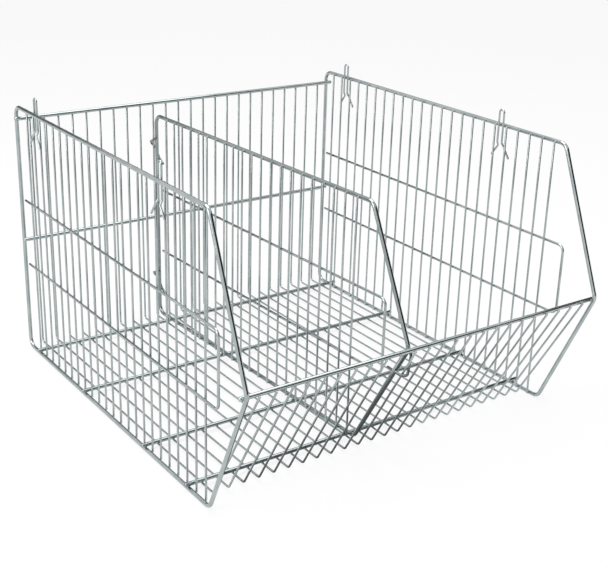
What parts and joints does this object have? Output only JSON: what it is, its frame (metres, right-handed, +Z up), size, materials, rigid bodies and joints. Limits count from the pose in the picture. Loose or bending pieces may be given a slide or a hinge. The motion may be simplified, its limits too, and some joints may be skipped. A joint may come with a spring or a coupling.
{
  "type": "retail dump bin",
  "caption": "Stackable open-topped wire basket bin with a sloping front lip, stacking hooks and a lift-out wire divider held by hairpin clips.",
  "frame": {"origin": "middle of the bin's bounding box, at the floor under the side frames' bottom bars", "axes": "+X to the bin's right as seen from its open front, +Y from the front lip to the back, +Z up"},
  "size_m": [0.6224, 0.7054, 0.4467],
  "materials": {
    "plated_wire": "bright zinc or chrome plate on drawn steel wire"
  },
  "bodies": {
    "basket": {"back_mid_rail": "plated_wire", "back_top_rail": "plated_wire", "basket_wire_01": "plated_wire", "basket_wire_02": "plated_wire", "basket_wire_03": "plated_wire", "basket_wire_04": "plated_wire", "basket_wire_05": "plated_wire", "basket_wire_06": "plated_wire", "basket_wire_07": "plated_wire", "basket_wire_08": "plated_wire", "basket_wire_09": "plated_wire", "basket_wire_10": "plated_wire", "basket_wire_11": "plated_wire", "basket_wire_12": "plated_wire", "basket_wire_13": "plated_wire", "basket_wire_14": "plated_wire", "basket_wire_15": "plated_wire", "basket_wire_16": "plated_wire", "basket_wire_17": "plated_wire", "basket_wire_18": "plated_wire", "basket_wire_19": "plated_wire", "basket_wire_20": "plated_wire", "basket_wire_21": "plated_wire", "basket_wire_22": "plated_wire", "basket_wire_23": "plated_wire", "basket_wire_24": "plated_wire", "divider_clip_back_lower": "plated_wire", "divider_clip_back_upper": "plated_wire", "divider_clip_lip": "plated_wire", "floor_crossbar_1": "plated_wire", "floor_crossbar_2": "plated_wire", "floor_crossbar_3": "plated_wire", "floor_crossbar_4": "plated_wire", "left_side_frame": "plated_wire", "left_side_grille": "plated_wire", "lip_rail": "plated_wire", "right_side_frame": "plated_wire", "right_side_grille": "plated_wire", "stacking_hook_left_back": "plated_wire", "stacking_hook_left_front": "plated_wire", "stacking_hook_right_back": "plated_wire", "stacking_hook_right_front": "plated_wire"},
    "divider": {"divider_frame": "plated_wire", "divider_grille": "plated_wire"}
  },
  "joints": [
    {"name": "divider_lift", "type": "slide", "parent": "basket", "child": "divider", "axis": [0, 0, 1], "range_m": [0, 0.44]}
  ]
}
